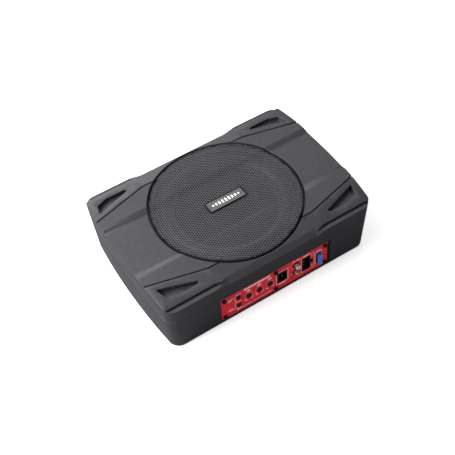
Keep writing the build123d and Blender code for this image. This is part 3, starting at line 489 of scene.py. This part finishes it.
def grille_rim():
    """Rolled rim that covers the sheet's edge and turns down to the seat. Its near-black colour, darker
    than the grille, is painted shade for the shadow gap round the grille.
    """
    steps = 288
    outer_r, inner_r = GRILLE_R - 0.05, GRILLE_R - 1.1
    over_relief = [
        (RIM_R, -0.48), (RIM_R, 0.10), (RIM_R + 0.25, 0.16),
        (GRILLE_R - 1.0, 0.16), (GRILLE_R - 0.35, 0.02), (outer_r, -0.45),
    ]
    verts = []
    for i in range(steps):
        ca, sa = math.cos(angle_of(i, steps)), math.sin(angle_of(i, steps))
        for r, up in over_relief:
            verts.append((r * ca, r * sa, soft_relief(r * ca, r * sa) - GRILLE_DROP + up))
        for r in (outer_r, inner_r):
            verts.append((r * ca, r * sa, GRILLE_SEAT_Z))
        x, y = inner_r * ca, inner_r * sa
        verts.append((x, y, soft_relief(x, y) - GRILLE_DROP - 0.9))
    faces = closed_tube_faces(steps, len(over_relief) + 3)
    # near-black rim: painted shade for the gap round the grille, not the grille's own colour
    return new_piece("grille_rim", verts, faces, "trim_black", "enclosure", slot="grille_black")


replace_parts(grille_sheet(), "grille")
grille_rim()


# ---- moving soft parts ---------------------------------------------------------
def surround_piece():
    """Half roll between the cone's edge and the basket's flange."""
    outer_r = box_mm("surround")[1][0]
    cone_top = box_mm("cone")[1][2]
    flange = box_mm("woofer_basket")[1][2]
    roll_in, roll_out, rise, skin = 79.5, 93.6, 5.6, 0.9
    middle, half = (roll_in + roll_out) / 2, (roll_out - roll_in) / 2
    lip = [(74.5, cone_top - 1.0), (76.5, cone_top - 0.5)]      # glued to the cone
    steps = 20

    def roll(extra):
        line = []
        for i in range(steps + 1):
            a = math.pi * (1 - i / steps)
            z = cone_top + (flange - cone_top) * i / steps + (rise + extra) * math.sin(a)
            line.append((middle + (half + extra) * math.cos(a), z))
        return line

    top = [(r, z + skin) for r, z in lip] + roll(skin)
    top += [(outer_r - 0.3, flange + skin), (outer_r, flange + skin - 0.3)]
    under = [(outer_r, flange), (roll_out + 0.6, flange)] + roll(0.0)[::-1] + lip[::-1]
    verts, faces = revolve(top + under, 128)
    obj = new_piece("surround_roll", verts, faces, "rubber_black", None)
    set_blend(obj, lambda p: 1 - ease(math.hypot(p.x, p.y), roll_in, roll_out))
    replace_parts(obj, "surround")


def spider_piece():
    """Corrugated cloth ring between the coil former and the basket."""
    low, high = box_mm("spider")
    outer_r, inner_r = high[0], box_mm("coil_former")[1][0]
    waves_end, waves, wave_high = 44.0, 4, 0.9
    middle, skin = low[2] + wave_high, 0.8
    steps = 64

    def height(r):
        share = min(1.0, max(0.0, (r - inner_r - 3.0) / (waves_end - inner_r - 4.0)))
        return middle + wave_high * math.sin(2 * math.pi * waves * share)

    start = inner_r + 0.05
    radii = [start + (outer_r - start) * i / steps for i in range(steps + 1)]
    line = [(r, height(r)) for r in radii]
    verts, faces = revolve(line + [(r, z + skin) for r, z in reversed(line)], 96)
    obj = new_piece("spider_cloth_ring", verts, faces, "spider_cloth", None)
    set_blend(obj, lambda p: 1 - ease(math.hypot(p.x, p.y), inner_r + 2, waves_end))
    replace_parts(obj, "spider")


def tube(path, radius, sides=10):
    """Points and faces of a closed round tube along a list of points."""
    verts, faces = [], []
    points = [Vector(p) for p in path]
    for i, p in enumerate(points):
        ahead = points[min(i + 1, len(points) - 1)] - points[max(i - 1, 0)]
        ahead.normalize()
        across = ahead.cross(Vector((0, 0, 1))).normalized()
        over = across.cross(ahead)
        for k in range(sides):
            a = angle_of(k, sides)
            verts.append(tuple(p + across * (radius * math.cos(a)) + over * (radius * math.sin(a))))
    for i in range(len(points) - 1):
        for k in range(sides):
            n = (k + 1) % sides
            faces.append((i * sides + k, i * sides + n, (i + 1) * sides + n, (i + 1) * sides + k))
    faces.append(tuple(range(sides))[::-1])
    last = (len(points) - 1) * sides
    faces.append(tuple(last + k for k in range(sides)))
    return verts, faces


def smooth_path(knots, steps):
    """Catmull-Rom curve through a few points."""
    points = [Vector(p) for p in knots]
    before, after = points[0] * 2 - points[1], points[-1] * 2 - points[-2]
    run = [before] + points + [after]
    line = []
    for a, b, c, d in zip(run, run[1:], run[2:], run[3:]):
        for step in range(steps):
            t = step / steps
            bent = (2 * a - 5 * b + 4 * c - d) * t ** 2 + (3 * b - a - 3 * c + d) * t ** 3
            line.append(0.5 * (2 * b + (c - a) * t + bent))
    return line + [points[-1]]


def tinsel_piece():
    """Braided leads that flex between the terminal strip and the cone."""
    knots = [(10.2, -65.5, 52), (24, -63.5, 56.5), (23, -55, 63), (15, -44, 64.5), (10, -33.5, 67.1)]
    braid_r = 0.6
    verts, faces = [], []
    for side in (-1, 1):
        path = smooth_path([(side * x, y, z) for x, y, z in knots], 12)
        more_verts, more_faces = tube(path, braid_r)
        faces += [tuple(i + len(verts) for i in face) for face in more_faces]
        verts += more_verts
    obj = new_piece("tinsel_braids", verts, faces, "silver_braid", None)
    start, end = knots[0][1], knots[-1][1]
    set_blend(obj, lambda p: ease(p.y, start, end))
    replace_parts(obj, "tinsel_leads")


surround_piece()
spider_piece()
tinsel_piece()


# ---- badge and printing ------------------------------------------------------------
BOX_FACES = ((0, 1, 3, 2), (4, 6, 7, 5), (0, 4, 5, 1), (2, 3, 7, 6), (0, 2, 6, 4), (1, 5, 7, 3))


def add_box(store, x0, x1, y0, y1, z0, z1):
    verts, faces = store
    n = len(verts)
    verts += [(x, y, z) for x in (x0, x1) for y in (y0, y1) for z in (z0, z1)]
    faces += [tuple(n + i for i in face) for face in BOX_FACES]


def rounded_outline(half_x, half_y, radius, steps=6):
    """Rectangle with round corners, about the origin."""
    line = []
    for cx, cy, first in ((1, 1, 0), (-1, 1, 90), (-1, -1, 180), (1, -1, 270)):
        for i in range(steps + 1):
            a = math.radians(first + 90 * i / steps)
            x = cx * (half_x - radius) + radius * math.cos(a)
            y = cy * (half_y - radius) + radius * math.sin(a)
            line.append((x, y))
    return line


def badge_rim():
    """Dark raised frame on the plate's border."""
    (_, _, foot), (half_x, half_y, top) = box_mm("badge")
    # How far each ring lies outside the plate's edge, its corner radius and its height.
    rings = [(0.4, 1.6, foot), (0.4, 1.6, top + 0.1), (0, 1.3, top + 0.3),
             (-1.1, 1.0, top + 0.3), (-1.4, 0.9, top - 0.1)]
    verts = []
    for out, radius, z in rings:
        outline = rounded_outline(half_x + out, half_y + out, radius)
        verts += [(x, y, z) for x, y in outline]
    faces = closed_tube_faces(len(rings), len(outline))
    new_piece("badge_rim", verts, faces, "trim_black", "enclosure", slot="grille_black")


def badge_bars():
    """Plain row of level bars in place of any lettering."""
    top = box_mm("badge")[1][2]
    bars, row_half, bar_half = 9, 21.0, 1.35
    shortest, swell = 1.0, 2.2
    store = ([], [])
    for i in range(bars):
        x = row_half * (2 * i / (bars - 1) - 1)
        tall = shortest + swell * math.sin(math.pi * (i + 0.5) / bars)
        add_box(store, x - bar_half, x + bar_half, -tall, tall, top - 0.05, top + 0.12)
    new_piece("badge_bars", *store, "print_white", "enclosure", smooth=False, slot="badge_metal")


PRINT_T = 0.06          # thickness of the printed strokes
DIAL_R, DIAL_SWEEP, DIAL_TICKS = 6.3, 280.0, 11
KNOBS = ("level_knob", "crossover_knob", "boost_knob")


def middle_mm(node):
    """Middle of a CAD node's box in millimetres."""
    low, high = box_mm(node)
    return [(a + b) / 2 for a, b in zip(low, high)]


def stroke(store, x0, x1, z0, z1):
    """Flat printed stroke on the panel's front."""
    add_box(store, x0, x1, PANEL_FRONT - PRINT_T, PANEL_FRONT + 0.01, z0, z1)


def mark(store, x, z, half_x, half_z):
    """Stroke given by its middle and half sizes."""
    stroke(store, x - half_x, x + half_x, z - half_z, z + half_z)


def print_frame(store, x0, x1, z0, z1, width):
    stroke(store, x0, x1, z0, z0 + width)
    stroke(store, x0, x1, z1 - width, z1)
    stroke(store, x0, x0 + width, z0 + width, z1 - width)
    stroke(store, x1 - width, x1, z0 + width, z1 - width)


def print_title(store):
    """Row of plain blocks above the dials and the rule below them."""
    x = -47.2
    for word in (3.4, 2.0, 2.6, 3.0, 1.8, 2.8, 2.2, 3.2, 2.4, 2.8, 1.8, 3.0, 2.4):
        stroke(store, x, x + word, 44.6, 48.0)
        x += word + 0.8
    stroke(store, -57.5, -1.4, 9.9, 10.6)


def print_dials(store):
    for knob in KNOBS:
        x, _, z = middle_mm(knob)
        for i in range(DIAL_TICKS):
            a = math.radians(DIAL_SWEEP * (i / (DIAL_TICKS - 1) - 0.5))
            mark(store, x + DIAL_R * math.sin(a), z + DIAL_R * math.cos(a), 0.28, 0.45)
        mark(store, x, z + 9.9, 3.4, 0.7)
        mark(store, x, z + 12.1, 2.4, 0.5)
        for side in (-1, 1):
            mark(store, x + side * 4.1, z - 8.7, 1.5, 0.7)


def print_buttons(store):
    """Marks by the two buttons, the bar beside them and the lines at the panel's end."""
    x = middle_mm("phase_button")[0]
    for z in (28.0, 12.8, 43.6):
        for side in (-1, 1):
            mark(store, x + side * 2.4, z, 1.8, 0.6)
    stroke(store, -62.8, -62.3, 14.0, 42.0)
    for z, length in ((40.6, 9.0), (38.0, 6.5), (18.2, 8.0), (15.8, 9.5)):
        stroke(store, -74.0, -74.0 + length, z - 0.45, z + 0.45)


def print_sockets(store):
    """Frames round the sockets and the fuse, with blocks for their labels."""
    low, high = box_mm("input_socket")
    print_frame(store, low[0] - 2.2, high[0] + 2.2, low[2] - 2.4, high[2] + 2.4, 0.7)
    stroke(store, low[0] + 2, high[0] - 2, low[2] - 5.4, low[2] - 4.0)

    x = middle_mm("phono_shells")[0]
    for side in (-1, 1):
        mark(store, x + side * 3.85, 47.3, 2.65, 0.7)

    low, high = box_mm("power_socket")
    print_frame(store, low[0] - 2.0, high[0] + 2.2, low[2] - 2.2, high[2] + 2.2, 0.5)
    for share in (1 / 8, 7 / 8):
        z = low[2] + (high[2] - low[2]) * share
        stroke(store, high[0] - 3.6, high[0] - 1.2, z - 0.5, z + 0.5)
    stroke(store, low[0] + 1, high[0] - 6, high[2] + 3.4, high[2] + 4.8)

    low, high = box_mm("fuse_holder")
    print_frame(store, low[0] - 1.3, high[0] + 1.3, low[2] - 1.3, high[2] + 1.3, 0.5)
    stroke(store, low[0], high[0], high[2] + 3.0, high[2] + 4.4)


def panel_print():
    """Plain strokes, frames and dial ticks; blocks stand where the panel has words."""
    store = ([], [])
    print_title(store)
    print_dials(store)
    print_buttons(store)
    print_sockets(store)
    new_piece("panel_print", *store, "print_white", "enclosure", smooth=False, slot="panel_red")


def text_mesh(text, size, thick):
    """Mesh of a short text, made by way of a text object that is then removed."""
    curve = bpy.data.curves.new("mark", "FONT")
    curve.body = text
    curve.size = size
    curve.align_x = "CENTER"
    curve.extrude = thick
    shape = bpy.data.objects.new("mark", curve)
    bpy.context.scene.collection.objects.link(shape)
    depsgraph = bpy.context.evaluated_depsgraph_get()
    mesh = bpy.data.meshes.new_from_object(shape.evaluated_get(depsgraph))
    verts = [tuple(v.co) for v in mesh.vertices]
    faces = [tuple(f.vertices) for f in mesh.polygons]
    bpy.data.objects.remove(shape)
    bpy.data.meshes.remove(mesh)
    bpy.data.curves.remove(curve)
    return verts, faces


def panel_numerals():
    """Dial numbers and channel letters, raised a hair off the panel."""
    size, thick = 3.2, 0.03
    marks = []
    for text, shift in (("0", -6.4), ("10", 6.2)):
        for knob in KNOBS:
            x, _, z = middle_mm(knob)
            marks.append((x + shift, z - 7.6, text))
    for insert, letter in (("phono_white_insert", "L"), ("phono_red_insert", "R")):
        marks.append((box_mm(insert)[0][0] - 5.0, middle_mm(insert)[2] - 1.2, letter))
    verts, faces = [], []
    for x, z, text in marks:
        n = len(verts)
        flat_verts, flat_faces = text_mesh(text, size, thick)
        verts += [(x + u, PANEL_FRONT - thick - w, z + v) for u, v, w in flat_verts]
        faces += [tuple(n + i for i in face) for face in flat_faces]
    new_piece("panel_numerals", verts, faces, "print_white", "enclosure", smooth=False, slot="panel_red")


badge_rim()
badge_bars()
panel_print()
panel_numerals()


# ---- floor, light, camera --------------------------------------------------------
FLOOR_HALF = 4.0        # metres
FLOOR_GAP = 0.0001


def stage_floor():
    """White to the camera, greyer to every other ray, so the walls stay dark."""
    z = cad_low.z - FLOOR_GAP
    corners = [(x * FLOOR_HALF, y * FLOOR_HALF, z) for x, y in ((-1, -1), (1, -1), (1, 1), (-1, 1))]
    mesh = bpy.data.meshes.new("floor")
    mesh.from_pydata(corners, [], [(0, 1, 2, 3)])
    obj = bpy.data.objects.new("floor", mesh)
    bpy.context.scene.collection.objects.link(obj)
    look = bpy.data.materials.new("floor")
    look.use_nodes = True
    tree = look.node_tree
    tree.nodes.clear()
    link = tree.links.new
    out = node_of(tree, "ShaderNodeOutputMaterial")
    seen = node_of(tree, "ShaderNodeBsdfDiffuse", Color=(0.9, 0.9, 0.9, 1))
    glow = node_of(tree, "ShaderNodeEmission", Strength=0.46)
    lit = node_of(tree, "ShaderNodeAddShader")
    link(seen.outputs[0], lit.inputs[0])
    link(glow.outputs[0], lit.inputs[1])
    bounced = node_of(tree, "ShaderNodeBsdfDiffuse", Color=(0.16, 0.16, 0.165, 1))
    path = node_of(tree, "ShaderNodeLightPath")
    mix = node_of(tree, "ShaderNodeMixShader")
    link(path.outputs["Is Camera Ray"], mix.inputs[0])
    link(bounced.outputs[0], mix.inputs[1])
    link(lit.outputs[0], mix.inputs[2])
    link(mix.outputs[0], out.inputs[0])
    obj.data.materials.append(look)


def lamp(name, place, aim, size, power):
    """Square area lamp at a place, facing a point; metres and watts."""
    data = bpy.data.lights.new(name, "AREA")
    data.size = size
    data.energy = power
    obj = bpy.data.objects.new(name, data)
    bpy.context.scene.collection.objects.link(obj)
    obj.location = place
    obj.rotation_euler = (Vector(aim) - Vector(place)).to_track_quat("-Z", "Y").to_euler()


def stage_light():
    world = bpy.data.worlds.new("studio")
    bpy.context.scene.world = world
    world.use_nodes = True
    background = world.node_tree.nodes["Background"]
    background.inputs[0].default_value = (1, 1, 1, 1)
    background.inputs[1].default_value = 0.42
    lamp("key", (-1.2, 0.3, 0.95), (-0.05, 0, 0.06), 0.9, 58)
    lamp("back", (0.1, 1.7, 0.55), (0, 0, 0.09), 1.3, 12)
    lamp("top", (-0.3, 0.9, 1.4), (-0.05, 0, 0.09), 0.7, 6)
    lamp("sheen", (0.85, 1.0, 1.3), (0.13, 0.05, 0.09), 0.4, 1.5)
    lamp("fill", (-0.5, -1.5, 0.5), (0, 0, 0.05), 1.3, 8)
    lamp("side", (-1.6, -0.35, 0.35), (-0.15, 0, 0.04), 0.8, 6)
    settings = bpy.context.scene.view_settings
    settings.view_transform = "Standard"
    settings.look = "None"


LENS_MM, SENSOR_MM = 73.4902, 36.0
CAMERA_TURN, CAMERA_RISE, CAMERA_ROLL = -28.882, 50.668, -4.839     # degrees
CAMERA_AIM = (0.012324, 0.024414, 0.0)                              # metres
CAMERA_AWAY = 1.40213


def front_camera():
    """Camera to the front left of the part and above it, rolled a little."""
    azimuth, elevation, roll = map(math.radians, (CAMERA_TURN, CAMERA_RISE, CAMERA_ROLL))
    flat = math.cos(elevation)
    back = Vector((math.sin(azimuth) * flat, -math.cos(azimuth) * flat, math.sin(elevation)))
    right = Vector((math.cos(azimuth), math.sin(azimuth), 0))
    up = back.cross(right)
    side = right * math.cos(roll) + up * math.sin(roll)
    top = -right * math.sin(roll) + up * math.cos(roll)
    data = bpy.data.cameras.new("camera")
    data.sensor_width = SENSOR_MM
    data.lens = LENS_MM
    data.clip_start = 0.05
    obj = bpy.data.objects.new("camera", data)
    bpy.context.scene.collection.objects.link(obj)
    facing = Matrix((side, top, back)).transposed().to_4x4()
    obj.matrix_world = Matrix.Translation(Vector(CAMERA_AIM) + back * CAMERA_AWAY) @ facing
    bpy.context.scene.camera = obj


stage_floor()
stage_light()
front_camera()
